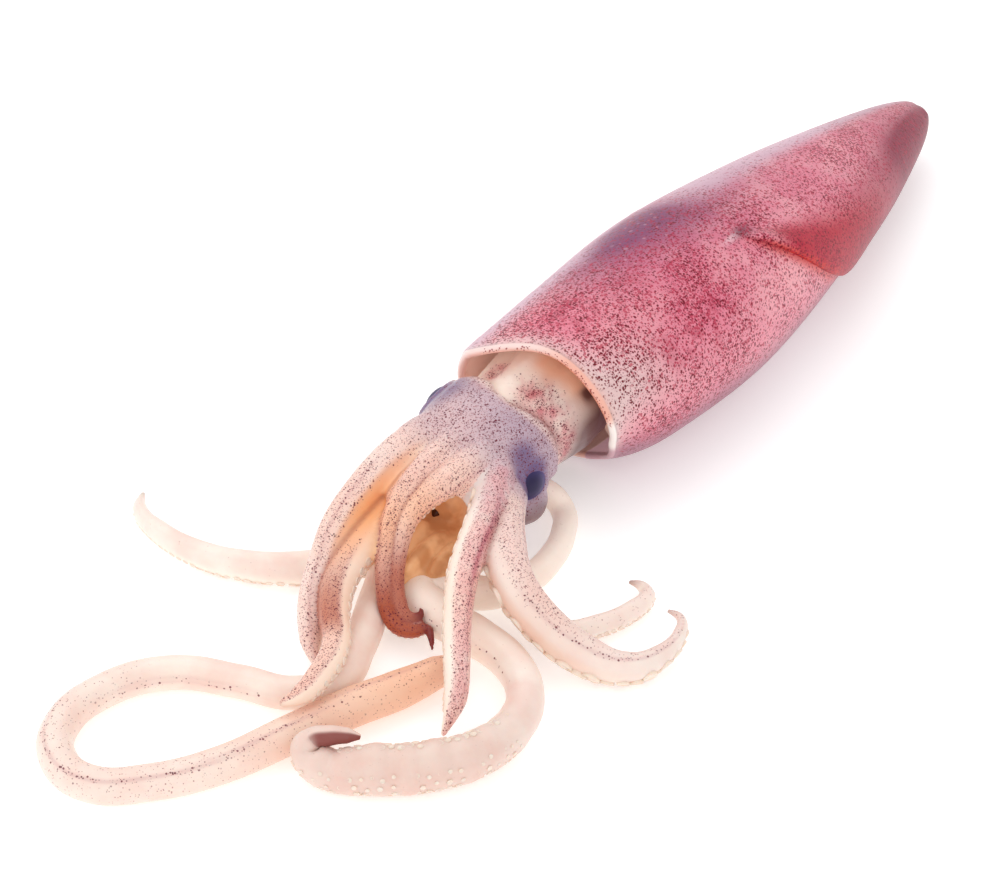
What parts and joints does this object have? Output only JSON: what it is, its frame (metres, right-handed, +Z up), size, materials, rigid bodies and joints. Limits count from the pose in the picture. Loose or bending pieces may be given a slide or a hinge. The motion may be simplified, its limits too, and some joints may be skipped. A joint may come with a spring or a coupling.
{
  "type": "whole raw squid",
  "caption": "Whole raw squid lying belly down: a finned, hollow-mouthed mantle, a head with eyes, a neck, arms spread in front and long curling tentacles.",
  "frame": {"origin": "on the floor plane, under the middle of the bounding box", "axes": "+Y along the mantle towards the tail, -Y towards the arms, +Z up, the belly on the floor"},
  "size_m": [0.1352, 0.3382, 0.0441],
  "materials": {
    "skin": "wet, glossy skin, rose red with dense dark red dots",
    "flesh": "wet, translucent cream pink flesh with dark red dots",
    "eye": "wet, dark blue under clear skin",
    "horn": "dark brown horn"
  },
  "bodies": {
    "root": {"mantle": "skin", "head_and_arms": "flesh", "eye_left": "eye", "eye_right": "eye", "beak": "horn"}
  },
  "joints": []
}
